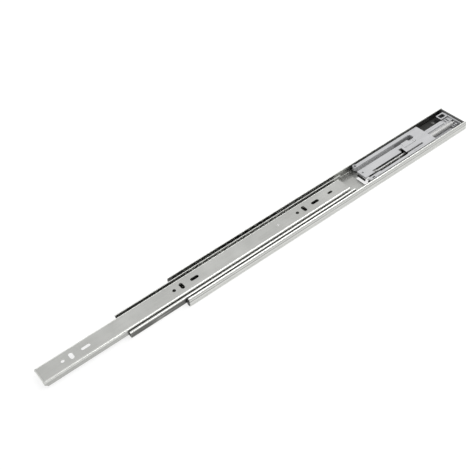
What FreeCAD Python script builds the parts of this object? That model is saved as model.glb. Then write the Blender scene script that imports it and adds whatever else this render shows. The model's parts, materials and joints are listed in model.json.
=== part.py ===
import FreeCAD, Part
import math
import os

# A full-extension ball-bearing drawer slide with a soft-close unit, modelled half open.
# X runs along the slide, front towards -X, with X = 0 at the cabinet member's front end.
# Y runs across it, and Z = 0 is the cabinet member's back face, which lies on the cabinet side.
# Sizes are in millimetres.

# Overall sizes
cabinet_length = 450.0
slide_width = 45.0
slide_height = 12.7
drawer_shortfall = 22.0        # the drawer member ends this far before the cabinet member
sheet = 1.2                    # steel of the three members
bend = 0.5                     # inside radius of the tighter bends
cabinet_bend = 1.0             # inside radius under the cabinet member's lips
middle_bend = 1.0              # inside radius under the intermediate member's lips
drawer_bend = 1.4              # inside radius between the drawer member's web and flanges

# How far each moving piece stands out of its closed place
carriage_open = 50.0
middle_open = 72.0
drawer_open = 176.0

# Section, from the outside in
cabinet_lip = 2.7
lip_gap = 2.7                  # between the cabinet member's lip and the intermediate member
middle_lip = 2.5
drawer_gap = 2.6               # between the intermediate member's lip and the drawer member
track_step = 0.55              # how far the intermediate's ball track is set in
drawer_track_step = 0.7
ball_play = 0.025
cage_sheet = 0.5
cage_gap = 0.15                # between a cage and the web below it
pocket_play = 0.04
track_top = 7.7                # top of the ball track in the cabinet member's walls
wall_step = 0.35               # the walls step in by this above the track, over this height
wall_step_height = 0.6
wall_lean = 0.7                # and lean in by this in all at the top
wall_lean_drop = 3.2           # starting this far below the top
lip_drop = 0.2                 # the cabinet member's lips lie this far below the top
middle_drop = 0.7              # the intermediate member's lips lie this far below the top

# Balls and cages
outer_ball_height = 5.0
inner_ball_height = 6.9
outer_pitch = 11.0
outer_count = 8
inner_pitch = 14.0
inner_count = 11
cage_end = 5.0                 # cage beyond the first and the last ball
outer_cage_start = 80.0
inner_cage_start = 26.0
ear_width = 2.4

# Drawer member's fixing holes, measured from its front end
first_group = 28.5
second_group = 171.0
third_group = 352.0
upright_slot_step = 10.5
long_slot_step = 28.0
rear_slot_step = 52.5
round_hole = 4.3
upright_slot_size = (4.8, 9.6)     # along X, along Y
long_slot_size = (11.2, 4.3)
rear_slot_size = (7.4, 3.4)
release_rivet_place = 322.0
front_lip_height = 4.0
flange_chamfer = 5.0

# Cabinet member's fixing holes, measured from its front end
cabinet_first_hole = 37.0
cabinet_hole_pitch = 96.0
cabinet_hole_count = 3
cabinet_hole = 4.5
cabinet_slot_step = 16.0
cabinet_slot_size = (9.0, 4.5)
middle_slot_size = (24.0, 9.0)     # in the intermediate member, to reach the screws through

# Opening in the cabinet member's web below the carriage's front
web_opening_start = 278.0
web_opening_length = 14.0
web_opening_near = -10.6
web_opening_far = 6.2

# Front stops, and the room at the members' ends
front_stop_reach = 0.8         # a front stop stands this far out of the front end
front_stop_length = 6.0
front_stop_gap = 0.3           # between it and the intermediate member
middle_overhang = 1.6          # closed, the intermediate member stands this far out
carriage_front_gap = 2.0       # between it and the carriage's front
middle_rear_step = 4.0         # its far side is this much longer than its near side

# Tongue at the intermediate member's rear end
web_tongue = 20.0
tongue_far = 9.0               # how far the tongue reaches across, on each side
tongue_near = 12.4

# Soft-close unit, measured from the cabinet member's rear end with the slide closed
unit_end = 2.0                 # room left behind the carriage
carriage_length = 118.0
far_rail_setback = 6.0         # the far rail starts this far behind the carriage's front
base_length = 96.0
base_floor = 1.2
deck_thickness = 1.6
deck_side_gap = 2.5            # between the carriage deck and the cabinet member's lips
web_room = 0.35                # between the carriage deck and the drawer member's web
part_room = 0.25               # between the carriage and the fixed parts that it passes
carriage_side_room = 0.3
rail_neck = 1.0
rail_foot_top = 6.0
rail_inner = 13.6
front_block_length = 28.0
groove_room = 0.4              # each side of a drawer flange in the carriage's grooves
groove_wall = 1.2
far_groove_inner = 6.0
hook_side = 3.9                # how far across the far groove's hooked end reaches
groove_end_room = 18.0         # from the grooves' ends to the carriage's rear
window_start = 22.0            # the window's ends, from the carriage's front
window_end = 72.0
window_inner = -5.4
window_notch_inner = 0.6
window_notch_length = 5.2
clip_notch_length = 7.0
ear_radius = 3.0
ear_hole_radius = 1.9
ear_hole_depth = 6.0
boss_setback = 4.0             # behind the carriage's front
boss_radius = 2.8
boss_hole_radius = 1.3
boss_rise = 0.12               # the boss stands this far above the deck
boss_clearance = 2.4           # under the carriage's front pieces, for the tongue
front_wall_drop = 3.0          # the carriage's front edge, with half-round notches in it
front_wall_thickness = 1.6
front_notch_radius = 0.9
front_notch_sides = (-7.6, -4.8, 2.6)
pivot_setback = 24.2           # the catch lever's pin, ahead of the carriage's rear
lever_floor = 0.7              # deck left under the catch lever
lever_play = 0.35
lever_swing = 2.6
lever_half = 2.2
lever_reach = 16.0             # from its pin to its beak
lever_beak = 4.6               # from its pin to the beak's rear side
snap_clip_length = 12.2
snap_clip_wall = 1.6

# Damper and closing spring
unit_front_room = 7.0          # of the base, in front of the saddle and the spring cover
damper_side = -5.6
damper_radius = 3.4
damper_wall = 0.7
gland_nose = 7.0
gland_plug = 4.0
cylinder_rear_room = 8.0
rod_radius = 1.25
rod_in_cylinder = 9.0
piston_length = 3.5
spring_hook_setback = 20.0     # behind the carriage's front
cover_rear_room = 17.0
spring_side = 2.0
spring_radius = 1.7
spring_wall = 0.5
spring_post_radius = 0.9
cover_wall = 0.7
saddle_top = 3.6
saddle_shoulder = 7.6          # its strip between the damper and the spring cover
saddle_near = -9.4
saddle_wall = 1.6
saddle_ledge_reach = 1.2       # its near ledge reaches this far past the drawer member's side
saddle_step_count = 3
saddle_step_pitch = 2.6

# Rivets and pins
base_rivet_radius = 1.5
base_rivet_head = 2.4
base_rivet_head_depth = 0.7
base_rivet_front_room = 8.0    # from the base's ends
base_rivet_rear_room = 20.0
pivot_radius = 0.9
striker_rivet_radius = 0.8
release_rivet_radius = 1.8
pin_play = 0.05

# Striker and release lever on the drawer member
striker_length = 9.0
striker_setback = 3.0          # ahead of the drawer member's rear end
striker_depth = 3.5
striker_rivet_room = 2.0       # from the striker's ends
release_lever_depth = 2.2
release_lever_length = 62.0    # from its rivet to its tip
release_lever_half = 3.6

# Worked-out faces of the three members
wall_outer = slide_width / 2
wall_inner = wall_outer - sheet
cabinet_lip_edge = wall_outer - cabinet_lip
middle_outer = cabinet_lip_edge - lip_gap
middle_lip_edge = middle_outer - middle_lip
drawer_half = middle_lip_edge - drawer_gap
middle_track_outer = middle_outer - track_step
middle_track_inner = middle_track_outer - sheet
drawer_track_outer = drawer_half - drawer_track_step
drawer_track_inner = drawer_track_outer - sheet
outer_ball_radius = (wall_inner - middle_track_outer) / 2 - ball_play
inner_ball_radius = (middle_track_inner - drawer_track_outer) / 2 - ball_play
outer_ball_side = (wall_inner + middle_track_outer) / 2
inner_ball_side = (middle_track_inner + drawer_track_outer) / 2

# Worked-out heights
outer_cage_low = sheet + cage_gap
middle_low = outer_cage_low + cage_sheet + cage_gap
middle_web_top = middle_low + sheet
inner_cage_low = middle_web_top + cage_gap
drawer_tip = inner_cage_low + cage_sheet + cage_gap
drawer_web_low = slide_height - sheet
cabinet_lip_top = slide_height - lip_drop
middle_lip_top = slide_height - middle_drop
deck_top = drawer_web_low - web_room
deck_low = deck_top - deck_thickness
fixed_top = deck_low - part_room
base_top = sheet + base_floor
rail_low = base_top + 0.3
damper_height = fixed_top - damper_radius
lever_top = drawer_web_low - 0.3
lever_low = lever_top - release_lever_depth

# Worked-out widths of the carriage
deck_half = cabinet_lip_edge - deck_side_gap
side_rail_inner = deck_half - rail_neck
far_groove_outer = drawer_half + groove_room + 0.2
saddle_step_near = -(drawer_half + saddle_ledge_reach)
rail_middle = (rail_inner + deck_half) / 2

# Worked-out places along the slide, as it stands half open
drawer_front = -drawer_open
drawer_length = cabinet_length - drawer_shortfall
drawer_rear = drawer_front + drawer_length
carriage_rear = cabinet_length - unit_end - carriage_open
carriage_front = carriage_rear - carriage_length
far_rail_front = carriage_front + far_rail_setback
middle_rear_near = carriage_front - carriage_front_gap - (middle_open - carriage_open)
middle_rear_far = middle_rear_near + middle_rear_step
middle_front = -middle_open - middle_overhang
middle_tongue_rear = middle_rear_near + web_tongue
base_front = cabinet_length - unit_end - base_length
base_rear = cabinet_length - unit_end
groove_end = carriage_rear - groove_end_room
window_front = carriage_front + window_start
window_rear = carriage_front + window_end
window_outer = -rail_inner
pivot_place = (carriage_rear - pivot_setback, 0.4)
boss_place = (carriage_front + boss_setback, 0.0)
ear_place = (far_rail_front - 0.6, drawer_half + groove_room + 0.3 + ear_radius)
rod_clip_rear = window_front - 0.5
spring_front = carriage_front + spring_hook_setback
cylinder_front = base_front + unit_front_room + 1.5
cylinder_rear = base_rear - cylinder_rear_room
cover_rear = base_rear - cover_rear_room
spring_rear = cover_rear - 3.0
spring_post_x = cover_rear - 2.0


def vector(x, y, z):
    return FreeCAD.Vector(x, y, z)


def block(x0, x1, y0, y1, z0, z1):
    return Part.makeBox(x1 - x0, y1 - y0, z1 - z0, vector(x0, y0, z0))


def upright(x, y, z0, z1, radius):
    return Part.makeCylinder(radius, z1 - z0, vector(x, y, z0))


def along(x0, x1, y, z, radius):
    return Part.makeCylinder(radius, x1 - x0, vector(x0, y, z), vector(1, 0, 0))


def ring_along(x0, x1, y, z, outer, inner):
    return along(x0, x1, y, z, outer).cut(along(x0, x1, y, z, inner))


def unit(dx, dy):
    size = math.hypot(dx, dy)
    return dx / size, dy / size


def corner(before, here, after, radius):
    """Start, middle and end of the arc that rounds one corner of an outline."""
    ax, ay = unit(before[0] - here[0], before[1] - here[1])
    bx, by = unit(after[0] - here[0], after[1] - here[1])
    half = math.acos(ax * bx + ay * by) / 2
    reach = radius / math.tan(half)
    mx, my = unit(ax + bx, ay + by)
    depth = radius / math.sin(half) - radius
    start = (here[0] + ax * reach, here[1] + ay * reach)
    middle = (here[0] + mx * depth, here[1] + my * depth)
    end = (here[0] + bx * reach, here[1] + by * reach)
    return start, middle, end


def outline_face(points, radii, place):
    """A flat face with its corners rounded; place turns a point of it into space."""
    edges = []
    arcs = []
    count = len(points)
    for i in range(count):
        if radii[i] > 0:
            arcs.append(corner(points[i - 1], points[i], points[(i + 1) % count], radii[i]))
        else:
            arcs.append((points[i], None, points[i]))
    for i in range(count):
        start, middle, end = arcs[i]
        last_end = arcs[i - 1][2]
        edges.append(Part.LineSegment(place(*last_end), place(*start)).toShape())
        if middle:
            edges.append(Part.Arc(place(*start), place(*middle), place(*end)).toShape())
    return Part.Face(Part.Wire(edges))


def plate(points, radii, z0, z1):
    face = outline_face(points, radii, lambda x, y: vector(x, y, z0))
    return face.extrude(vector(0, 0, z1 - z0))


def rounded_block(x0, x1, y0, y1, z0, z1, radius):
    points = [(x0, y0), (x1, y0), (x1, y1), (x0, y1)]
    return plate(points, [radius] * 4, z0, z1)


def slot(x, y, size, z0, z1):
    """A round-ended slot centred on x, y."""
    radius = min(size) / 2
    reach_x = size[0] / 2
    reach_y = size[1] / 2
    if size[0] > size[1]:
        body = block(x - reach_x + radius, x + reach_x - radius, y - radius, y + radius, z0, z1)
        ends = [(x - reach_x + radius, y), (x + reach_x - radius, y)]
    else:
        body = block(x - radius, x + radius, y - reach_y + radius, y + reach_y - radius, z0, z1)
        ends = [(x, y - reach_y + radius), (x, y + reach_y - radius)]
    for end in ends:
        body = body.fuse(upright(end[0], end[1], z0, z1, radius))
    return body.removeSplitter()


def bent_sheet(half_path, x0, x1, thickness):
    """Sheet bent to a path of (y, z, inside radius) points, the same on both sides."""
    path = [(-y, z, radius) for y, z, radius in reversed(half_path)] + list(half_path)
    left = []
    right = []
    left_radii = []
    right_radii = []
    last = len(path) - 1
    for i, here in enumerate(path):
        into = unit(here[0] - path[i - 1][0], here[1] - path[i - 1][1]) if i > 0 else None
        out = unit(path[i + 1][0] - here[0], path[i + 1][1] - here[1]) if i < last else None
        into = into or out
        out = out or into
        side_x, side_y = unit(-into[1] - out[1], into[0] + out[0])
        reach = thickness / 2 / (side_x * -into[1] + side_y * into[0])
        left.append((here[0] + side_x * reach, here[1] + side_y * reach))
        right.append((here[0] - side_x * reach, here[1] - side_y * reach))
        turn = into[0] * out[1] - into[1] * out[0]
        bent = abs(turn) > 1e-6
        inside = here[2] if bent else 0
        outside = here[2] + thickness if bent else 0
        left_radii.append(inside if turn > 0 else outside)
        right_radii.append(outside if turn > 0 else inside)
    points = left + right[::-1]
    radii = left_radii + right_radii[::-1]
    face = outline_face(points, radii, lambda y, z: vector(x0, y, z))
    return face.extrude(vector(x1 - x0, 0, 0))


def save(name, shape):
    shape.exportStep("parts/" + name + ".step")
    size = shape.BoundBox
    print("%-24s solids %2d volume %9.1f  x %.1f..%.1f y %.1f..%.1f z %.2f..%.2f" % (
        name, len(shape.Solids), shape.Volume, size.XMin, size.XMax, size.YMin, size.YMax,
        size.ZMin, size.ZMax))


def joined(shapes):
    result = shapes[0]
    for shape in shapes[1:]:
        result = result.fuse(shape)
    return result.removeSplitter()


# The three steel members

def cabinet_section(x0, x1):
    middle = sheet / 2
    wall = wall_outer - middle
    path = [(wall, middle, bend),
            (wall, track_top, bend),
            (wall - wall_step, track_top + wall_step_height, bend),
            (wall - wall_step, slide_height - wall_lean_drop, bend),
            (wall - wall_lean, cabinet_lip_top - middle, cabinet_bend),
            (cabinet_lip_edge, cabinet_lip_top - middle, 0)]
    return bent_sheet(path, x0, x1, sheet)


def cabinet_member():
    shape = cabinet_section(0, cabinet_length)
    for i in range(cabinet_hole_count):
        x = cabinet_first_hole + i * cabinet_hole_pitch
        shape = shape.cut(upright(x, 0, -1, sheet + 1, cabinet_hole / 2))
        shape = shape.cut(slot(x + cabinet_slot_step, 0, cabinet_slot_size, -1, sheet + 1))
    for x, y in base_rivet_places():
        shape = shape.cut(upright(x, y, -1, sheet + 1, base_rivet_radius))
    opening = rounded_block(web_opening_start, web_opening_start + web_opening_length,
                            web_opening_near, web_opening_far, -1, sheet + 1, 1.0)
    return shape.cut(opening)


def middle_member():
    middle = sheet / 2
    track = middle_track_outer - middle
    upper = middle_outer - middle
    path = [(track, middle_low + middle, bend),
            (track, outer_ball_height + 2.2, bend),
            (upper, outer_ball_height + 3.4, bend),
            (upper, middle_lip_top - middle, middle_bend),
            (middle_lip_edge, middle_lip_top - middle, 0)]
    shape = bent_sheet(path, middle_front, middle_rear_far, sheet)
    outside = middle_outer + 1
    near_cut = block(middle_rear_near, middle_rear_far + 1, -outside, -tongue_near, 0, slide_height)
    tongue = block(middle_rear_far - 1, middle_tongue_rear, -tongue_near, tongue_far,
                   middle_low, middle_web_top)
    shape = shape.cut(near_cut).fuse(tongue).removeSplitter()
    for x in middle_hole_places():
        shape = shape.cut(slot(x, 0, middle_slot_size, middle_low - 1, middle_web_top + 0.1))
    return shape


def middle_hole_places():
    """Holes through which the cabinet member's screws are reached."""
    first = middle_front + cabinet_first_hole
    return [first + i * cabinet_hole_pitch for i in range(cabinet_hole_count)]


def drawer_member():
    middle = sheet / 2
    side = drawer_half - middle
    track = drawer_track_outer - middle
    path = [(side, slide_height - middle, drawer_bend),
            (side, inner_ball_height + inner_ball_radius + 0.4, bend),
            (track, inner_ball_height + 1.3, bend),
            (track, drawer_tip + 1.2, bend),
            (track + 0.6, drawer_tip + 0.4, 0)]
    shape = bent_sheet(path, drawer_front, drawer_rear, sheet)
    shape = shape.fuse(front_lip()).removeSplitter()
    shape = shape.cut(front_chamfer())
    holes = []
    low = drawer_web_low - 1
    high = slide_height + 1
    for group in (first_group, second_group, third_group):
        x = drawer_front + group
        holes.append(upright(x, 0, low, high, round_hole / 2))
        holes.append(slot(x + upright_slot_step, 0, upright_slot_size, low, high))
        holes.append(slot(x + long_slot_step, 0, long_slot_size, low, high))
    rear = drawer_front + third_group + rear_slot_step
    holes.append(slot(rear, 0, rear_slot_size, low, high))
    rivet = drawer_front + release_rivet_place
    holes.append(upright(rivet, 0, low, high, release_rivet_radius))
    for x, y in striker_rivet_places():
        holes.append(upright(x, y, low, high, striker_rivet_radius))
    for hole in holes:
        shape = shape.cut(hole)
    return shape


def front_lip():
    """The web's front end turned down, with a round bend."""
    outer = drawer_bend + sheet
    x = drawer_front
    half = drawer_half - outer
    low = slide_height - front_lip_height
    axis_height = slide_height - outer
    web = block(x + outer, x + outer + 3, -half, half, drawer_web_low, slide_height)
    lip = block(x, x + sheet, -half, half, low, axis_height)
    quarter = block(x, x + outer, -half, half, axis_height, slide_height)
    round_bend = front_roll(outer, half).common(quarter).cut(front_roll(drawer_bend, half))
    return joined([web, round_bend, lip])


def front_roll(radius, half):
    """Cylinder across the drawer member about the axis of its front bend."""
    outer = drawer_bend + sheet
    start = vector(drawer_front + outer, -half, slide_height - outer)
    return Part.makeCylinder(radius, 2 * half, start, vector(0, 1, 0))


def front_chamfer():
    """What is taken off the front ends of the web and the two flanges."""
    outer = drawer_bend + sheet
    x = drawer_front
    wide = drawer_half + 1
    low = drawer_tip - 1
    points = [(x - 1, low), (x + flange_chamfer, low), (x - 1, drawer_tip + flange_chamfer)]
    face = outline_face(points, [0, 0, 0], lambda along_x, z: vector(along_x, -wide, z))
    corners = face.extrude(vector(0, 2 * wide, 0))
    front = block(x - 1, x + outer, -wide, wide, slide_height - outer, slide_height + 1)
    return corners.fuse(front.cut(front_roll(outer, wide)))


# Cages and balls

def ball_places(start, count, pitch):
    return [start + cage_end + i * pitch for i in range(count)]


def cage_length(count, pitch):
    return 2 * cage_end + (count - 1) * pitch


def cage(start, count, pitch, side, low, height, radius, ears):
    length = cage_length(count, pitch)
    middle = cage_sheet / 2
    top = height + radius + 0.4
    shape = bent_sheet([(side, low + middle, bend), (side, top, 0)], start, start + length, cage_sheet)
    for x in ball_places(start, count, pitch):
        for sign in (-1, 1):
            pocket = Part.makeSphere(radius + pocket_play, vector(x, sign * side, height))
            shape = shape.cut(pocket)
    if ears:
        for x in ball_places(start, count - 1, pitch):
            centre = x + pitch / 2
            for sign in (-1, 1):
                ear = block(centre - ear_width / 2, centre + ear_width / 2,
                            sign * side - middle, sign * side + middle, top - 1, middle_lip_top - sheet)
                shape = shape.fuse(ear)
        shape = shape.removeSplitter()
    length_cut = block(start + cage_end + pitch, start + length - cage_end - pitch,
                       -side + 4, side - 4, low - 1, low + cage_sheet + 1)
    return shape.cut(length_cut)


def balls(start, count, pitch, side, height, radius):
    row = []
    for x in ball_places(start, count, pitch):
        for sign in (-1, 1):
            row.append(Part.makeSphere(radius, vector(x, sign * side, height)))
    return Part.makeCompound(row)


# Pieces fixed to the cabinet member

def front_stop(sign):
    """Black buffer that fills the ball channel's front end."""
    inner = middle_outer + front_stop_gap
    rear = front_stop_length - front_stop_reach
    body = rounded_block(-front_stop_reach, rear, inner, wall_inner, sheet, cabinet_lip_top - sheet, 0.5)
    body = body.cut(cabinet_section(-front_stop_reach, rear + 1))
    if sign < 0:
        body = body.mirror(vector(0, 0, 0), vector(0, 1, 0))
    return body


def base_rivet_places():
    side = drawer_half + 3.0
    front = base_front + base_rivet_front_room
    rear = base_rear - base_rivet_rear_room
    return [(front, side), (front, -side), (rear, side), (rear, -side)]


def base_rivet(x, y):
    shank = upright(x, y, 0, base_top, base_rivet_radius)
    head = Part.makeCone(base_rivet_radius, base_rivet_head, base_rivet_head_depth,
                         vector(x, y, base_top - base_rivet_head_depth))
    return shank.fuse(head).removeSplitter()


def damper_base():
    """Black moulded floor of the soft-close unit."""
    half = wall_inner - bend - 0.1
    shape = rounded_block(base_front, base_rear, -half, half, sheet, base_top, 2.0)
    for x, y in base_rivet_places():
        shape = shape.cut(base_rivet(x, y))
    return shape.cut(spring_post())


def damper_saddle():
    """Grey moulded cradle on the base, under the damper and along the unit's rear end."""
    inner = side_rail_inner - part_room
    front = base_front + unit_front_room
    wall_front = base_rear - saddle_wall
    cradle_far = damper_side + damper_radius + 0.9
    cradle = block(front, wall_front, saddle_near, cradle_far, base_top, saddle_top)
    ledge = block(front, wall_front, saddle_step_near, saddle_near, base_top, base_top + 0.4)
    shoulder = block(front, wall_front, damper_side, cradle_far, base_top, saddle_shoulder)
    rear_wall = block(wall_front, base_rear, -inner, inner, base_top, fixed_top - 0.3)
    corner_front = cover_rear + 1.5
    corner_block = block(corner_front, wall_front, cradle_far - 1, far_groove_inner,
                         base_top, fixed_top - 2.2)
    shape = joined([cradle, ledge, shoulder, rear_wall, corner_block] + saddle_steps(wall_front - 4.4))
    shape = shape.cut(along(front - 1, wall_front, damper_side, damper_height, damper_radius + 0.02))
    for x in (corner_front + 3.4, corner_front + 7.6):
        shape = shape.cut(block(x, x + 1.8, cradle_far, far_groove_inner - 1.2, saddle_top, fixed_top))
    return shape


def saddle_steps(rear):
    """Upright ribs on the saddle's near side, each lower than the one behind it."""
    steps = []
    for i in range(saddle_step_count):
        x = rear - saddle_step_pitch * i
        steps.append(block(x, x + saddle_wall, saddle_step_near, saddle_near, base_top, fixed_top - 1.2 - i))
    return steps


def rear_buffer():
    """Black strip across the rear end, which the closed carriage stops at."""
    front = base_rear + 0.3
    body = block(front, cabinet_length - 0.1, -wall_inner, wall_inner, sheet, deck_top)
    return body.cut(cabinet_section(front - 1, cabinet_length + 1))


def base_rivets():
    return Part.makeCompound([base_rivet(x, y) for x, y in base_rivet_places()])


def damper_cylinder():
    body = along(cylinder_front, cylinder_rear, damper_side, damper_height, damper_radius)
    bore_radius = damper_radius - damper_wall
    bore = along(cylinder_front - 1, cylinder_rear - 2.5, damper_side, damper_height, bore_radius)
    shape = body.cut(bore)
    groove_radius = damper_radius - 0.3
    for x in (cylinder_front + 4.0, cylinder_rear - 4.0):
        groove = ring_along(x, x + 0.8, damper_side, damper_height, damper_radius + 1, groove_radius)
        shape = shape.cut(groove)
    return shape


def damper_gland():
    """Seal in the cylinder's mouth, with a long nose that the rod runs through."""
    front = cylinder_front - gland_nose
    rear = cylinder_front + gland_plug
    nose = along(front, cylinder_front, damper_side, damper_height, damper_radius - 0.2)
    plug = along(cylinder_front, rear, damper_side, damper_height, damper_radius - damper_wall)
    hole = along(front - 1, rear + 1, damper_side, damper_height, rod_radius + pin_play)
    return nose.fuse(plug).removeSplitter().cut(hole)


def damper_end_cap():
    collar = along(cylinder_rear, cylinder_rear + 1.4, damper_side, damper_height, damper_radius - 0.6)
    nose = along(cylinder_rear + 1.4, base_rear - saddle_wall, damper_side, damper_height, 1.5)
    return collar.fuse(nose).removeSplitter()


def spring_cover():
    """Light moulded cover over the fixed half of the closing spring."""
    half = spring_radius + 0.5 + cover_wall
    front = base_front + unit_front_room
    near = spring_side - half
    far = spring_side + half
    body = block(front, cover_rear, near, far, base_top, fixed_top)
    inside = block(front - 1, cover_rear - cover_wall, near + cover_wall, far - cover_wall,
                   base_top - 1, fixed_top - 1.0)
    groove = block(front - 1, cover_rear + 1, spring_side - 0.5, spring_side + 0.5,
                   fixed_top - 0.4, fixed_top + 1)
    return body.cut(inside).cut(groove)


def spring_post():
    """Pin in the base that holds the closing spring's fixed end."""
    return upright(spring_post_x, spring_side, sheet, damper_height + 1.6, spring_post_radius)


def closing_spring():
    return ring_along(spring_front, spring_rear, spring_side, damper_height, spring_radius,
                      spring_radius - spring_wall)


def snap_clip():
    """Square moulded clip in the unit's rear corner, with a sprung tongue in it."""
    x1 = base_rear - 1.8
    x0 = x1 - snap_clip_length
    y0 = far_groove_inner + 0.4
    y1 = side_rail_inner - part_room
    wall = snap_clip_wall
    frame = rounded_block(x0, x1, y0, y1, base_top, fixed_top, 0.8)
    inside = rounded_block(x0 + wall, x1 - wall, y0 + wall, y1 - wall, base_top + wall, fixed_top + 1, 0.5)
    tongue = block(x0 + 3.4, x1 - 3.6, y0 + 2.8, y1 - 4.4, base_top + wall, fixed_top - 2.6)
    return frame.cut(inside).fuse(tongue).removeSplitter()


# Pieces of the sliding carriage

def carriage():
    """Grey fork that the drawer member's flanges run into."""
    deck = plate([(carriage_front, -deck_half), (carriage_rear, -deck_half),
                  (carriage_rear, deck_half), (carriage_front, deck_half)],
                 [4.0, 1.5, 1.5, 0.0], deck_low, deck_top)
    deck = deck.cut(block(carriage_front - 1, far_rail_front, far_groove_inner, deck_half + 1,
                          0, slide_height))
    rails = rail(carriage_front + 1.0, -1).fuse(rail(far_rail_front, 1))
    boss_low = middle_web_top + boss_clearance
    boss = upright(boss_place[0], boss_place[1], boss_low, deck_top + boss_rise, boss_radius)
    ear = upright(ear_place[0], ear_place[1], boss_low, deck_top, ear_radius)
    shape = joined([deck, rails, boss, ear, front_wall(), spring_hook()] + groove_walls())
    shape = shape.cut(upright(boss_place[0], boss_place[1], 0, slide_height, boss_hole_radius))
    ear_hole_low = deck_top - ear_hole_depth
    shape = shape.cut(upright(ear_place[0], ear_place[1], ear_hole_low, slide_height, ear_hole_radius))
    for opening in carriage_openings():
        shape = shape.cut(opening)
    return shape


def front_sides():
    """How far the carriage's front wall and buffer reach across."""
    return -(drawer_track_inner - groove_room - 0.3), far_groove_inner - 1.6


def front_wall():
    near, far = front_sides()
    wall = block(carriage_front, carriage_front + front_wall_thickness, near, far,
                 deck_top - front_wall_drop, deck_top)
    for y in front_notch_sides:
        wall = wall.cut(upright(carriage_front, y, 0, deck_low, front_notch_radius))
    return wall


def groove_walls():
    """Walls that stand down from the deck along the far groove and round its end."""
    low = middle_web_top + 1.8
    inner = block(carriage_front + 1, groove_end - 11.0, far_groove_inner - 0.7, far_groove_inner,
                  low, deck_top)
    outer = block(far_rail_front + 1, groove_end + groove_wall, far_groove_outer,
                  far_groove_outer + groove_wall, rail_low, deck_top)
    end = block(groove_end, groove_end + groove_wall, far_groove_inner - 0.7,
                far_groove_outer + groove_wall, rail_low, deck_top)
    return [inner, outer, end]


def rail(front, sign):
    """Side rail that runs in the cabinet member, under its lip, with a wider front block."""
    outer = wall_inner - carriage_side_room
    foot = rounded_block(front, carriage_rear, side_rail_inner, outer, rail_low, rail_foot_top, 1.0)
    wide = rounded_block(front, front + front_block_length, rail_inner, outer, rail_low, rail_foot_top, 1.0)
    hollow = rounded_block(front + 2.5, front + front_block_length - 1.6, rail_inner + 1.4, outer - 1.4,
                           rail_low - 1, rail_foot_top - 1.2, 0.8)
    neck = block(front + 0.5, carriage_rear - 0.5, side_rail_inner, deck_half, rail_foot_top - 0.5, deck_top)
    front_web = block(front + 0.5, front + 2.0, rail_inner, deck_half, rail_foot_top - 0.5, deck_top)
    body = joined([foot, wide, neck, front_web]).cut(hollow)
    if sign < 0:
        body = body.mirror(vector(0, 0, 0), vector(0, 1, 0))
    return body


def spring_hook():
    return block(spring_front - 2.0, spring_front, spring_side - 1.4, spring_side + 1.4,
                 damper_height - spring_radius, deck_low + 0.2)


def carriage_openings():
    flange_in = drawer_track_inner - groove_room
    flange_out = drawer_half + groove_room
    far_groove = plate([(carriage_front - 2, far_groove_inner), (groove_end - 10.0, far_groove_inner),
                        (groove_end - 10.0, hook_side), (groove_end, hook_side),
                        (groove_end, far_groove_outer), (carriage_front - 2, far_groove_outer)],
                       [0, 0, 0, 2.6, 3.2, 0], deck_low - 3, slide_height)
    near_groove = rounded_block(carriage_front - 4, groove_end, -flange_out, -flange_in,
                                rail_low - 1, slide_height, 1.0)
    mouth = slot(carriage_front + 8.0, -rail_middle, (4.6, 1.8), deck_top - 3.0, slide_height)
    line = block(window_rear + 8, groove_end - 2, -rail_middle + 0.3, -rail_middle + 0.7,
                 deck_top - 0.4, slide_height)
    pin_hole = upright(pivot_place[0], pivot_place[1], deck_low, slide_height, pivot_radius)
    return [far_groove, near_groove, window(), clip_notch(), mouth, line, lever_pocket(), pin_hole]


def window():
    """Opening over the damper rod, with a notch at its rear end that reaches further across."""
    notch_front = window_rear - window_notch_length
    points = [(window_front, window_outer), (window_rear - 1.0, window_outer),
              (window_rear + 0.6, window_notch_inner), (notch_front, window_notch_inner),
              (notch_front, window_inner), (window_front, window_inner)]
    return plate(points, [1.2, 1.2, 1.0, 0.4, 0, 1.2], deck_low - 1, slide_height)


def clip_notch():
    """Narrow opening in front of the window, over the clip on the rod's end."""
    front = window_front - clip_notch_length
    return rounded_block(front, window_front + 1.5, window_inner - 4.4, window_inner,
                         deck_low, slide_height, 0.6)


def lever_outline(grow):
    x, y = pivot_place
    tail = x + 3.2 + grow
    beak_rear = x - lever_beak + grow
    beak_front = x - lever_reach - grow
    beak_side = far_groove_inner + 0.6
    near = y - lever_half - grow
    far = y + lever_half + grow
    return [(tail, near), (tail, far), (beak_rear, far), (beak_rear, beak_side),
            (beak_front, beak_side), (beak_front - 1.6 - grow, near)]


def lever_pocket():
    """Room in the deck for the catch lever and its swing."""
    points = lever_outline(lever_play)
    points[0] = (points[0][0], points[0][1] - 0.3)
    points[5] = (points[5][0], points[5][1] - lever_swing)
    return plate(points, [1.6, 1.6, 0, 0, 0, 0.8], deck_low + lever_floor, slide_height)


def catch_lever():
    points = lever_outline(0)
    body = plate(points, [1.4, 1.4, 0.3, 0.8, 0.8, 0.6], deck_low + lever_floor + 0.1, deck_top)
    x, y = pivot_place
    return body.cut(upright(x, y, 0, slide_height, pivot_radius + pin_play))


def catch_pin():
    """Pivot pin of the catch lever, set in the deck and sunk below its top."""
    x, y = pivot_place
    return upright(x, y, deck_low, deck_top - 0.3, pivot_radius)


def damper_rod():
    rear = cylinder_front + rod_in_cylinder
    return along(rod_clip_rear - 2.5, rear, damper_side, damper_height, rod_radius)


def damper_piston():
    x = cylinder_front + rod_in_cylinder
    radius = damper_radius - damper_wall - 0.08
    body = along(x, x + piston_length, damper_side, damper_height, radius)
    ring = ring_along(x + 1.3, x + 2.2, damper_side, damper_height, damper_radius, radius - 0.42)
    return body.cut(ring)


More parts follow.
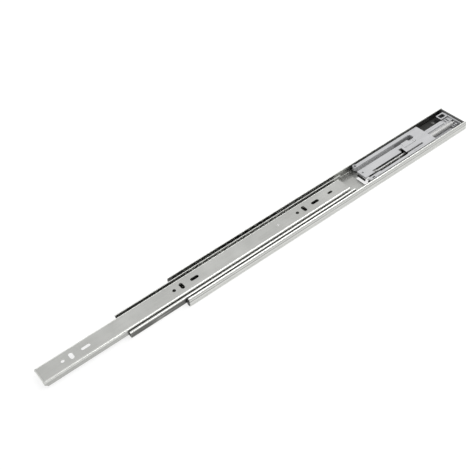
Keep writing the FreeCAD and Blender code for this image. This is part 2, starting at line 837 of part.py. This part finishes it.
def rod_clip():
    """Bright clip that holds the damper rod under the carriage's deck."""
    x1 = rod_clip_rear
    near = damper_side - 2.6
    far = damper_side + 2.6
    body = rounded_block(x1 - 3.8, x1, near, far, damper_height - 2.2, deck_low, 0.8)
    return body.cut(along(x1 - 2.5, x1 + 1, damper_side, damper_height, rod_radius))


def carriage_buffers():
    """Black rubber buffers on the carriage's front."""
    near_side, far_side = front_sides()
    centre = rounded_block(carriage_front - 1.4, carriage_front, near_side, far_side,
                           middle_web_top + boss_clearance, deck_top - front_wall_drop, 0.5)
    near = block(carriage_front - 0.6, carriage_front + 1.0, -middle_outer + 0.1, -rail_inner - 0.6,
                 middle_web_top + 2, deck_low - 0.6)
    return Part.makeCompound([centre, near])


# Pieces fixed to the drawer member

def striker_sides():
    """The striker lies on the flat of the web, short of the bend into the flange."""
    return far_groove_inner + 1.1, drawer_half - sheet - drawer_bend - 0.1


def striker_rivet_places():
    y = sum(striker_sides()) / 2
    rear = drawer_rear - striker_setback
    return [(rear - striker_length + striker_rivet_room, y), (rear - striker_rivet_room, y)]


def striker():
    """Small steel block under the web's rear end that the catch lever takes hold of."""
    y0, y1 = striker_sides()
    rear = drawer_rear - striker_setback
    low = drawer_web_low - striker_depth
    body = rounded_block(rear - striker_length, rear, y0, y1, low, drawer_web_low, 0.6)
    for x, y in striker_rivet_places():
        body = body.cut(upright(x, y, 0, slide_height, striker_rivet_radius))
    return body


def striker_rivets():
    low = drawer_web_low - striker_depth
    row = [upright(x, y, low, slide_height, striker_rivet_radius) for x, y in striker_rivet_places()]
    return Part.makeCompound(row)


def release_rivet():
    x = drawer_front + release_rivet_place
    shank = upright(x, 0, lever_low, slide_height, release_rivet_radius)
    foot = upright(x, 0, lever_low - 0.7, lever_low, release_rivet_radius + 1.0)
    dish = Part.makeSphere(4.0, vector(x, 0, slide_height + 3.8))
    return shank.fuse(foot).removeSplitter().cut(dish)


def release_lever():
    """Plastic latch inside the drawer member that lets the drawer be lifted out."""
    x = drawer_front + release_rivet_place
    half = release_lever_half
    tip = x - release_lever_length
    neck = tip + 12.0
    shoulder = x - 10.0
    points = [(x + half, -half), (x + half, half), (shoulder, 3.2), (neck, 2.2), (tip, 1.4),
              (tip, -1.4), (neck, -2.2), (shoulder, -3.2)]
    body = plate(points, [3.2, 3.2, 4.0, 2.0, 1.0, 1.0, 2.0, 4.0], lever_low, lever_top)
    hook = block(tip + 0.5, tip + 3.5, -1.3, 1.3, lever_low - 2.0, lever_low)
    body = body.fuse(hook).removeSplitter()
    return body.cut(upright(x, 0, 0, slide_height, release_rivet_radius + pin_play))


os.makedirs("parts", exist_ok=True)
save("cabinet_member", cabinet_member())
save("intermediate_member", middle_member())
save("drawer_member", drawer_member())
save("front_stop_left", front_stop(1))
save("front_stop_right", front_stop(-1))
save("outer_cage", cage(outer_cage_start, outer_count, outer_pitch, outer_ball_side, outer_cage_low,
                        outer_ball_height, outer_ball_radius, False))
save("outer_balls", balls(outer_cage_start, outer_count, outer_pitch, outer_ball_side,
                          outer_ball_height, outer_ball_radius))
save("inner_cage", cage(inner_cage_start, inner_count, inner_pitch, inner_ball_side, inner_cage_low,
                        inner_ball_height, inner_ball_radius, True))
save("inner_balls", balls(inner_cage_start, inner_count, inner_pitch, inner_ball_side,
                          inner_ball_height, inner_ball_radius))
save("damper_base", damper_base())
save("base_rivets", base_rivets())
save("damper_saddle", damper_saddle())
save("rear_buffer", rear_buffer())
save("damper_cylinder", damper_cylinder())
save("damper_gland", damper_gland())
save("damper_end_cap", damper_end_cap())
save("spring_cover", spring_cover())
save("spring_post", spring_post())
save("closing_spring", closing_spring())
save("snap_clip", snap_clip())
save("carriage", carriage())
save("carriage_buffers", carriage_buffers())
save("catch_lever", catch_lever())
save("catch_pin", catch_pin())
save("damper_rod", damper_rod())
save("damper_piston", damper_piston())
save("rod_clip", rod_clip())
save("striker", striker())
save("striker_rivets", striker_rivets())
save("release_rivet", release_rivet())
save("release_lever", release_lever())
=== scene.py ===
import json
import math

import bpy
import bmesh
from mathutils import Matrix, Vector


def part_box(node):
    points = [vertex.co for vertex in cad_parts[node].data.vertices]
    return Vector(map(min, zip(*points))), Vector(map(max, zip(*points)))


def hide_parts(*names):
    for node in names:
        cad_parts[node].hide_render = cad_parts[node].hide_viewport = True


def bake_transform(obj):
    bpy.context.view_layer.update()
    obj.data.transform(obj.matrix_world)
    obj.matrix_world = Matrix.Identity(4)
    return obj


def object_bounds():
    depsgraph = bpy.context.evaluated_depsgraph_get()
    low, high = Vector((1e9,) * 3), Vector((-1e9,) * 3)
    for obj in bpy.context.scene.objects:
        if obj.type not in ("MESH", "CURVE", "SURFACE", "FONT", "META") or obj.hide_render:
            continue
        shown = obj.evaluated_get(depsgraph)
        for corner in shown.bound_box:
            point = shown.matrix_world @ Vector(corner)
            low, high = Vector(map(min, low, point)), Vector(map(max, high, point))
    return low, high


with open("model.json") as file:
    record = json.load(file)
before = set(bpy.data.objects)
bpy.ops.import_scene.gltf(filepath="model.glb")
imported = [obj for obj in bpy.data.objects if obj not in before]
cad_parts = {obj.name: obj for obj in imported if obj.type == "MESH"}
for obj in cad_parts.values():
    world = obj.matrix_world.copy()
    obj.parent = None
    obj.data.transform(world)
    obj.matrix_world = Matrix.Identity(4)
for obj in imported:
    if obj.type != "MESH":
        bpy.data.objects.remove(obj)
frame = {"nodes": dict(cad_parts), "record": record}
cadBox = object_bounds()
print("frame loaded:", len(frame["nodes"]), "CAD nodes")


# one number in a node tree: arithmetic on it adds the Math nodes
class Signal:
    def __init__(self, nodes, socket):
        self.nodes = nodes
        self.socket = socket

    def math(self, operation, first, second=0.0):
        return self.nodes.add("ShaderNodeMath", {"operation": operation}, {0: first, 1: second})

    def __add__(self, other):
        return self.math("ADD", self, other)

    def __sub__(self, other):
        return self.math("SUBTRACT", self, other)

    def __rsub__(self, other):
        return self.math("SUBTRACT", other, self)

    def __mul__(self, other):
        return self.math("MULTIPLY", self, other)

    def __gt__(self, other):
        return self.math("GREATER_THAN", self, other)

    def __abs__(self):
        return self.math("ABSOLUTE", self)

    __radd__ = __add__
    __rmul__ = __mul__


# the nodes of one material or of the world
class Nodes:
    def __init__(self, owner):
        owner.use_nodes = True
        self.owner = owner
        self.tree = owner.node_tree

    def add(self, kind, settings=None, values=None, out=0):
        made = self.tree.nodes.new(kind)
        for key, value in (settings or {}).items():
            if key == "stops":
                self.setStops(made.color_ramp, value)
            else:
                setattr(made, key, value)
        for key, value in (values or {}).items():
            self.feed(made.inputs[key], value)
        if isinstance(out, tuple):
            return [Signal(self, made.outputs[name]) for name in out]
        return Signal(self, made.outputs[out])

    def setStops(self, ramp, stops):
        for i, (position, level) in enumerate(stops):
            stop = ramp.elements[i] if i < 2 else ramp.elements.new(position)
            stop.position = position
            stop.color = rgb(level, level, level)

    def feed(self, socket, value):
        if isinstance(value, Signal):
            self.tree.links.new(value.socket, socket)
        else:
            socket.default_value = value

    def surface(self, values):
        shader = self.tree.nodes["Principled BSDF"]
        for key, value in values.items():
            self.feed(shader.inputs[key], value)
        return self.owner

    def place(self):
        return self.add("ShaderNodeTexCoord", out="Object")

    def noise(self, scale, detail=3.0, stretch=(1, 1, 1)):
        spot = self.add("ShaderNodeVectorMath", {"operation": "MULTIPLY"}, {0: self.place(), 1: stretch})
        return self.add("ShaderNodeTexNoise", {}, {"Vector": spot, "Scale": scale, "Detail": detail})

    def split(self, vector):
        return self.add("ShaderNodeSeparateXYZ", {}, {0: vector}, out=("X", "Y", "Z"))

    def rise(self, signal, low, high):
        return self.add("ShaderNodeMapRange", {"clamp": True},
                        {"Value": signal, "From Min": low, "From Max": high})

    # 1 between low and high, with soft ends
    def band(self, signal, low, high, soft):
        return self.rise(signal, low, low + soft) * self.rise(signal, high, high - soft)

    def mix(self, amount, first, second):
        return self.add("ShaderNodeMix", {"data_type": "RGBA"}, {0: amount, 6: first, 7: second}, out=2)

    def bump(self, height, strength, distance):
        return self.add("ShaderNodeBump", {}, {"Height": height, "Strength": strength, "Distance": distance})


def rgb(red, green, blue):
    return (red, green, blue, 1.0)


# finishes: the values to change for each one stand just above its function

zincSteel = dict(base=rgb(0.64, 0.645, 0.622), cloud=rgb(0.57, 0.575, 0.553), cut=rgb(0.74, 0.74, 0.72),
                 greaseAndShade=rgb(0.07, 0.07, 0.064), roughness=0.27, cloudScale=38, cloudSpan=(0.62, 1.0),
                 lineScale=60, lineStretch=(0.35, 30, 30), speckScale=2600, greaseShadeSpan=(0.55, 0.95),
                 endFacing=0.9, endMix=0.7, endRougher=0.12, bumpStrength=0.12, bumpDepth=0.0002)

# where a surface darkens with grease and painted shade: spans along, across and up, and by how much
along = (-1, 1)
markEdge = 0.0003
greaseAndShade = dict(
    drawer_member=[(along, (0.0092, 0.0125), (0.003, 0.0108), 0.45),
                   (along, (-0.0125, -0.0092), (0.003, 0.0108), 0.3)],
    intermediate_member=[(along, (0.0130, 0.0158), (0.0030, 0.0110), 0.85),
                         (along, (-0.0158, -0.0130), (0.0030, 0.0110), 0.9),
                         (along, (0.0158, 0.0175), (0.0084, 0.0113), 0.82),
                         (along, (-0.0175, -0.0158), (0.0030, 0.0108), 0.9)],
    cabinet_member=[(along, (0.0180, 0.0218), (0.0014, 0.0115), 0.78),
                    (along, (-0.0212, -0.0180), (0.0014, 0.0118), 0.9),
                    # painted shade lines along the near outer wall, standing in for the shading under the
                    # bends and the track step
                    (along, (-0.0230, -0.0214), (0.0074, 0.0086), 0.55),
                    (along, (-0.0230, -0.0210), (0.0102, 0.0112), 0.5),
                    (along, (-0.0230, -0.0214), (0.0030, 0.0040), 0.3)])
# painted shade in the openings: the carriage's window and the space under its deck, the damper saddle's
# trough, the snap clip's walls below its rims
paintedRecessShade = dict(
    carriage=[((0.285, 0.3545), (-0.0165, 0.0008), (0.0, 0.01085), 1.0),
              ((0.352, 0.41), (-0.0165, 0.0155), (0.0, 0.0093), 0.35)],
    damper_saddle=[(along, (-0.0096, -0.002), (0.0, 0.0078), 0.6),
                   (along, (-0.0015, 0.02), (0.0, 0.0072), 0.4),
                   (along, (-0.0140, -0.0096), (0.0, 0.0078), 0.2)],
    snap_clip=[(along, (-0.02, 0.02), (0.0, 0.0089), 0.9)])


def makeZincSteel(name, marks=()):
    look = zincSteel
    nodes = Nodes(bpy.data.materials.new(name))
    clouds = nodes.noise(look["cloudScale"], 4)
    lines = nodes.noise(look["lineScale"], 2, look["lineStretch"])     # left by the rolls
    specks = nodes.noise(look["speckScale"], 1)
    base = nodes.mix(nodes.rise(clouds + lines * 0.6, *look["cloudSpan"]), look["cloud"], look["base"])
    normal = nodes.add("ShaderNodeNewGeometry", out="Normal")
    endOn = abs(nodes.split(normal)[0]) > look["endFacing"]            # sheared ends, bare and rougher
    colour = nodes.mix(endOn * look["endMix"], base, look["cut"])
    rough = look["roughness"] + lines * 0.1 + clouds * 0.08 + endOn * look["endRougher"]
    if marks:
        # patchy darkening: partly grease in the ball channels, partly painted shade in the gaps between the
        # members
        greaseAndShadeMask = markMask(nodes, marks) * nodes.rise(clouds + lines, *look["greaseShadeSpan"])
        colour = nodes.mix(greaseAndShadeMask, colour, look["greaseAndShade"])
    return nodes.surface({"Base Color": colour, "Metallic": 1.0, "Roughness": rough,
                          "Normal": nodes.bump(lines * 0.7 + specks * 0.3,
                                               look["bumpStrength"], look["bumpDepth"])})


# how dark each place is, from the marks on its piece: painted shade, and grease in the ball channels
def markMask(nodes, marks):
    spot = nodes.split(nodes.place())
    mask = 0.0
    for *spans, amount in marks:
        x, y, z = [nodes.band(part, low, high, markEdge) for part, (low, high) in zip(spot, spans)]
        mask = mask + x * y * z * amount
    return mask


brightSteel = dict(base=(0.78, 0.78, 0.77), worn=(0.70, 0.70, 0.69), roughness=0.18, ringScale=420,
                   ringStretch=(9, 1, 1), smudgeScale=140, wearSpan=(0.4, 0.75), bumpStrength=0.1,
                   bumpDepth=0.00002)


def makeBrightSteel(name, tint=1.0, rougher=0.0, metal=1.0):
    look = brightSteel
    nodes = Nodes(bpy.data.materials.new(name))
    rings = nodes.noise(look["ringScale"], 2, look["ringStretch"])     # turning marks
    smudge = nodes.noise(look["smudgeScale"], 3)
    base = rgb(*[tint * part for part in look["base"]])
    worn = rgb(*[tint * part for part in look["worn"]])
    colour = nodes.mix(nodes.rise(rings * 0.6 + smudge * 0.5, *look["wearSpan"]), worn, base)
    return nodes.surface({"Base Color": colour, "Metallic": metal,
                          "Roughness": look["roughness"] + rougher + smudge * 0.14,
                          "Normal": nodes.bump(rings, look["bumpStrength"], look["bumpDepth"])})


greyPlastic = dict(base=rgb(0.50, 0.503, 0.512), flow=rgb(0.445, 0.448, 0.458),
                   paintedShade=rgb(0.02, 0.02, 0.021), roughness=0.42, flowScale=55, flowStretch=(0.5, 1.6, 1),
                   flowSpan=(0.35, 0.68), sparkScale=3200, bumpStrength=0.18, bumpDepth=0.00008)


def makeGreyPlastic(name, marks=()):
    look = greyPlastic
    nodes = Nodes(bpy.data.materials.new(name))
    flow = nodes.noise(look["flowScale"], 3, look["flowStretch"])      # flow marks of the moulding
    sparks = nodes.noise(look["sparkScale"], 2)                        # fine texture of the mould
    colour = nodes.mix(nodes.rise(flow, *look["flowSpan"]), look["flow"], look["base"])
    if marks:
        # painted shade in the openings and recesses of the moulding
        colour = nodes.mix(markMask(nodes, marks), colour, look["paintedShade"])
    return nodes.surface({"Base Color": colour, "Roughness": look["roughness"] + sparks * 0.12,
                          "Normal": nodes.bump(sparks, look["bumpStrength"], look["bumpDepth"])})


blackPlastic = dict(base=rgb(0.018, 0.018, 0.017), pale=rgb(0.034, 0.034, 0.032), roughness=0.4,
                    sparkScale=2400)
greyRubber = dict(base=rgb(0.10, 0.10, 0.098), pale=rgb(0.14, 0.14, 0.136), roughness=0.6,
                  sparkScale=900)
blackRubber = dict(base=rgb(0.014, 0.014, 0.014), pale=rgb(0.030, 0.029, 0.028), roughness=0.62,
                   sparkScale=900)
darkMould = dict(flowScale=70, flowSpan=(0.4, 0.7), bumpStrength=0.25, bumpDepth=0.0001)


def makeDark(name, look):
    nodes = Nodes(bpy.data.materials.new(name))
    flow = nodes.noise(darkMould["flowScale"], 3)
    sparks = nodes.noise(look["sparkScale"], 2)
    colour = nodes.mix(nodes.rise(flow, *darkMould["flowSpan"]), look["base"], look["pale"])
    return nodes.surface({"Base Color": colour, "Roughness": look["roughness"] + sparks * 0.15,
                          "Normal": nodes.bump(sparks, darkMould["bumpStrength"],
                                               darkMould["bumpDepth"])})


finishes = dict(
    zinc_steel=makeZincSteel("zincSteel"),
    cage_steel=makeZincSteel("cageSteel"),
    bright_steel=makeBrightSteel("brightSteel"),
    spring_steel=makeBrightSteel("springSteel", 0.8),
    ball_steel=makeBrightSteel("ballSteel", 1.05),
    grey_plastic=makeGreyPlastic("greyPlastic"),
    black_plastic=makeDark("blackPlastic", blackPlastic),
    black_rubber=makeDark("blackRubber", blackRubber))
ownFinishes = {node: makeZincSteel(node + "Steel", marks) for node, marks in greaseAndShade.items()}
ownFinishes.update({node: makeGreyPlastic(node + "Plastic", marks) for node, marks in paintedRecessShade.items()})
ownFinishes["damper_cylinder"] = makeBrightSteel("cylinderAlloy", 0.7, 0.25, 0.5)
ownFinishes["damper_rod"] = makeBrightSteel("rodSteel", 0.85, 0.2, 0.8)
ownFinishes["rear_buffer"] = makeDark("greyRubber", greyRubber)

slots = {part["node"]: part["material_slot"] for part in frame["record"]["subparts"]}
for name, node in frame["nodes"].items():
    node.data.materials.clear()
    node.data.materials.append(ownFinishes.get(name) or finishes[slots[name]])
print("finishes on:", len(slots), "nodes")


# the closing spring, wound from wire between the carriage's hook and the fixed post

spring = dict(wire=0.0005, turns=74, sidesPerTurn=14, wireSides=7, tail=0.004, inset=0.0002)


# a round wire along a path of points
def makeWire(name, path, radius, sides, material):
    work = bmesh.new()
    rings = []
    up = Vector((0, 0, 1))
    for i, point in enumerate(path):
        ahead = (path[min(i + 1, len(path) - 1)] - path[max(i - 1, 0)]).normalized()
        side = ahead.cross(up).normalized()
        up = side.cross(ahead).normalized()
        turns = [2 * math.pi * k / sides for k in range(sides)]
        spokes = [radius * (side * math.cos(turn) + up * math.sin(turn)) for turn in turns]
        rings.append([work.verts.new(point + spoke) for spoke in spokes])
    for first, second in zip(rings, rings[1:]):
        for k in range(sides):
            after = (k + 1) % sides
            work.faces.new([first[k], first[after], second[after], second[k]])
    work.faces.new(rings[0][::-1])
    work.faces.new(rings[-1])
    bmesh.ops.recalc_face_normals(work, faces=work.faces)
    mesh = bpy.data.meshes.new(name)
    work.to_mesh(mesh)
    work.free()
    mesh.shade_smooth()
    mesh.materials.append(material)
    piece = bpy.data.objects.new(name, mesh)
    bpy.context.scene.collection.objects.link(piece)
    return piece


def makeSpring():
    low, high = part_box("closing_spring")
    middle = (low + high) / 2
    coilRadius = (high.z - low.z) / 2 - spring["wire"] / 2
    first = low.x + spring["tail"]
    last = high.x - spring["tail"]
    steps = spring["turns"] * spring["sidesPerTurn"]
    path = [Vector((low.x + spring["inset"], middle.y, middle.z))]
    for i in range(steps + 1):
        turn = 2 * math.pi * i / spring["sidesPerTurn"]
        x = first + (last - first) * i / steps
        y = middle.y + coilRadius * math.sin(turn)
        z = middle.z - coilRadius * math.cos(turn)
        path.append(Vector((x, y, z)))
    path.append(Vector((high.x - spring["inset"], middle.y, middle.z)))
    coil = makeWire("closingSpringCoil", path, spring["wire"] / 2, spring["wireSides"],
                    finishes["spring_steel"])
    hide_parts("closing_spring")
    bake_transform(coil)


makeSpring()
print("spring wound")


# studio

paper = dict(size=6.0, drop=0.0002, base=rgb(0.3, 0.3, 0.3), fibre=rgb(0.28, 0.28, 0.28), fibreScale=220,
             glow=0.74, roughness=0.95)
camera = dict(place=(-0.2425, -0.5229, 0.6611), turn=(44.468, 5.554, -37.627), lens=59.27, sensor=36,
              nearest=0.01)
# height of the ray, brightness there
sky = [(0.0, 1.0), (0.25, 0.95), (0.5, 0.66), (0.82, 0.7), (0.95, 1.0)]
# each lamp: name, place, what it points at, size, power
lamps = [
    ("longStrip", (0.66, -0.46, 1.22), (0.14, 0, 0), (1.5, 0.26), 9.0),
    ("farStrip", (0.55, 1.3, 0.42), (0.14, 0, 0), (1.4, 0.3), 3.0),
]


def makeFloor():
    mesh = bpy.data.meshes.new("floor")
    half = paper["size"] / 2
    low = cadBox[0].z - paper["drop"]
    corners = [(-half, -half, low), (half, -half, low), (half, half, low), (-half, half, low)]
    mesh.from_pydata(corners, [], [(0, 1, 2, 3)])
    nodes = Nodes(bpy.data.materials.new("paper"))
    colour = nodes.mix(nodes.noise(paper["fibreScale"], 4), paper["base"], paper["fibre"])
    mesh.materials.append(nodes.surface({"Base Color": colour, "Roughness": paper["roughness"],
                                         "Emission Color": rgb(1, 1, 1), "Emission Strength": paper["glow"]}))
    floor = bpy.data.objects.new("floor", mesh)
    bpy.context.scene.collection.objects.link(floor)


def makeLamp(name, place, target, size, power):
    data = bpy.data.lights.new(name, "AREA")
    data.shape = "RECTANGLE"
    data.size, data.size_y = size
    data.energy = power
    lamp = bpy.data.objects.new(name, data)
    lamp.location = place
    lamp.rotation_euler = (Vector(target) - Vector(place)).to_track_quat("-Z", "Y").to_euler()
    bpy.context.scene.collection.objects.link(lamp)


def makeSky():
    world = bpy.data.worlds.new("studioSky")
    nodes = Nodes(world)
    height = nodes.split(nodes.add("ShaderNodeTexCoord", out="Generated"))[2]
    nodes.feed(nodes.tree.nodes["Background"].inputs["Color"],
               nodes.add("ShaderNodeValToRGB", {"stops": sky}, {0: height}))
    bpy.context.scene.world = world


def makeCamera():
    data = bpy.data.cameras.new("camera")
    data.lens = camera["lens"]
    data.sensor_width = camera["sensor"]
    data.clip_start = camera["nearest"]
    seen = bpy.data.objects.new("camera", data)
    seen.location = camera["place"]
    seen.rotation_euler = [math.radians(angle) for angle in camera["turn"]]
    bpy.context.scene.collection.objects.link(seen)
    bpy.context.scene.camera = seen


makeFloor()
makeSky()
for lamp in lamps:
    makeLamp(*lamp)
makeCamera()
bpy.context.scene.view_settings.view_transform = "Standard"
print("studio ready")
